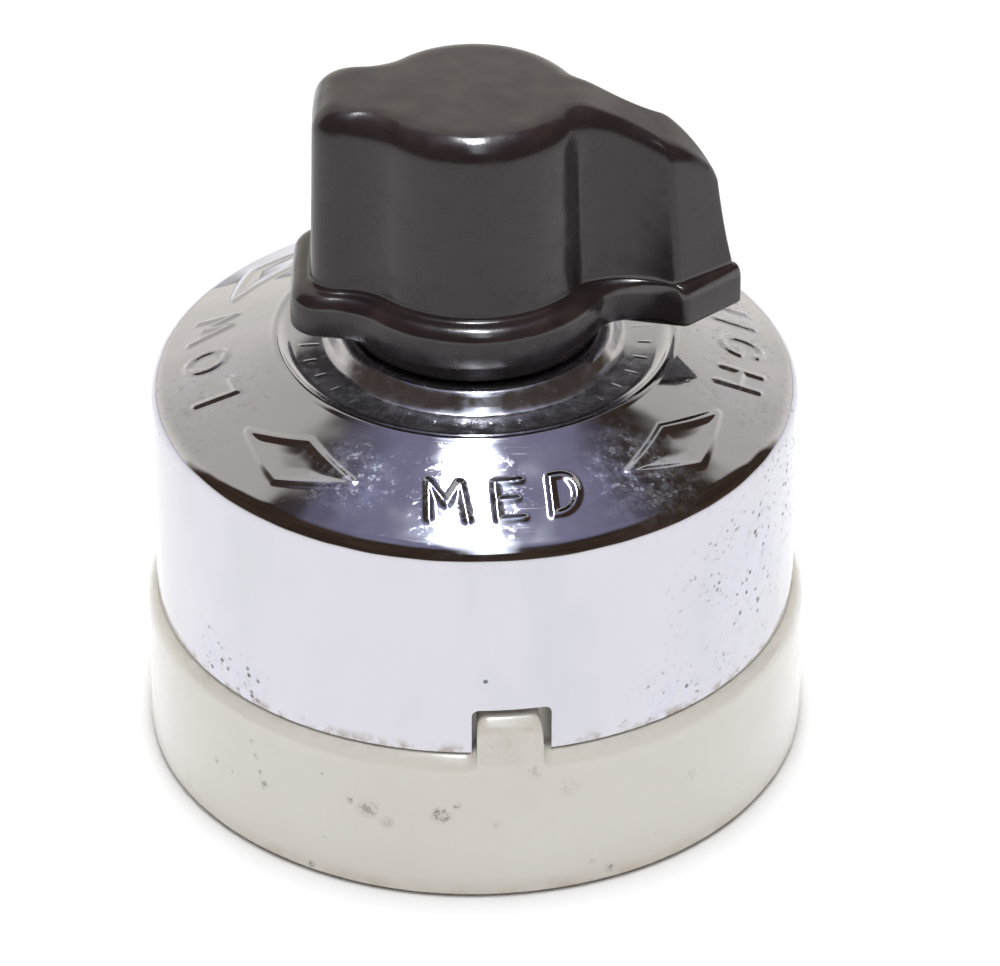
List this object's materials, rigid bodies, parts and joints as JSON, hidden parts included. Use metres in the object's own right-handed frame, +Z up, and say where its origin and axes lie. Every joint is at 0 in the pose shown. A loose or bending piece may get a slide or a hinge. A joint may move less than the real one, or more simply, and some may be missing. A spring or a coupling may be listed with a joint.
{
  "type": "rotary switch",
  "caption": "Surface-mount rotary heat switch: round glazed porcelain base, chromed dial cover with raised position marks and a black moulded pointer knob.",
  "frame": {"origin": "centre of the base's underside", "axes": "+Z up along the spindle; -Y to the front, where the locating tab and the MED mark are; +X to the HIGH mark"},
  "size_m": [0.064, 0.064, 0.0698],
  "materials": {
    "porcelain": "glossy white glaze, a little stained",
    "chrome": "polished chrome plate on drawn brass, lightly pitted",
    "bakelite": "dark brown-black moulded phenolic, worn to a satin gloss",
    "brass": "turned brass, slightly dull",
    "steel": "plain zinc-plated steel",
    "copper": "hard-rolled copper, slightly tarnished",
    "bronze": "phosphor bronze strip",
    "fibre": "vulcanised fibre, matt red-brown",
    "phenolic": "moulded brown phenolic, matt",
    "compound": "black sealing compound, dull",
    "spring_steel": "blued spring steel wire"
  },
  "bodies": {
    "body": {"porcelain_base": "porcelain", "cover_shell": "chrome", "cover_nut": "brass", "liner_sleeve": "fibre", "liner_disc": "fibre", "mechanism_frame": "steel", "spindle_bushing": "brass", "frame_screws": "steel", "index_springs": "bronze", "index_spring_rivets": "brass", "line_jaw": "bronze", "medium_jaw": "bronze", "low_jaw": "bronze", "line_terminal": "brass", "medium_terminal": "brass", "low_terminal": "brass", "common_terminal": "brass", "terminal_screws": "brass", "terminal_washers": "brass", "contact_screws": "steel", "sealing_plugs": "compound", "pivot_bearing": "brass", "thrust_washer": "fibre"},
    "knob": {"knob": "bakelite", "knob_insert": "brass", "spindle": "steel", "winding_plate": "steel", "drive_pin": "steel", "spindle_washer": "steel"},
    "rotor": {"lower_insulator": "phenolic", "lower_blade": "copper", "middle_insulator": "phenolic", "upper_blade": "copper", "upper_insulator": "phenolic", "index_plate": "steel", "rotor_rivets": "brass", "snap_spring": "spring_steel"}
  },
  "joints": [
    {"name": "knob_turn", "type": "hinge", "parent": "body", "child": "knob", "pos_m": [0, 0, 0.045], "axis": [0, 0, -1], "continuous": true},
    {"name": "rotor_turn", "type": "hinge", "parent": "body", "child": "rotor", "pos_m": [0, 0, 0.015], "axis": [0, 0, -1], "continuous": true, "deforming": ["snap_spring", "index_springs"]}
  ],
  "couplings": [
    {"joint": "rotor_turn", "follows": "knob_turn", "ratio": 1}
  ]
}
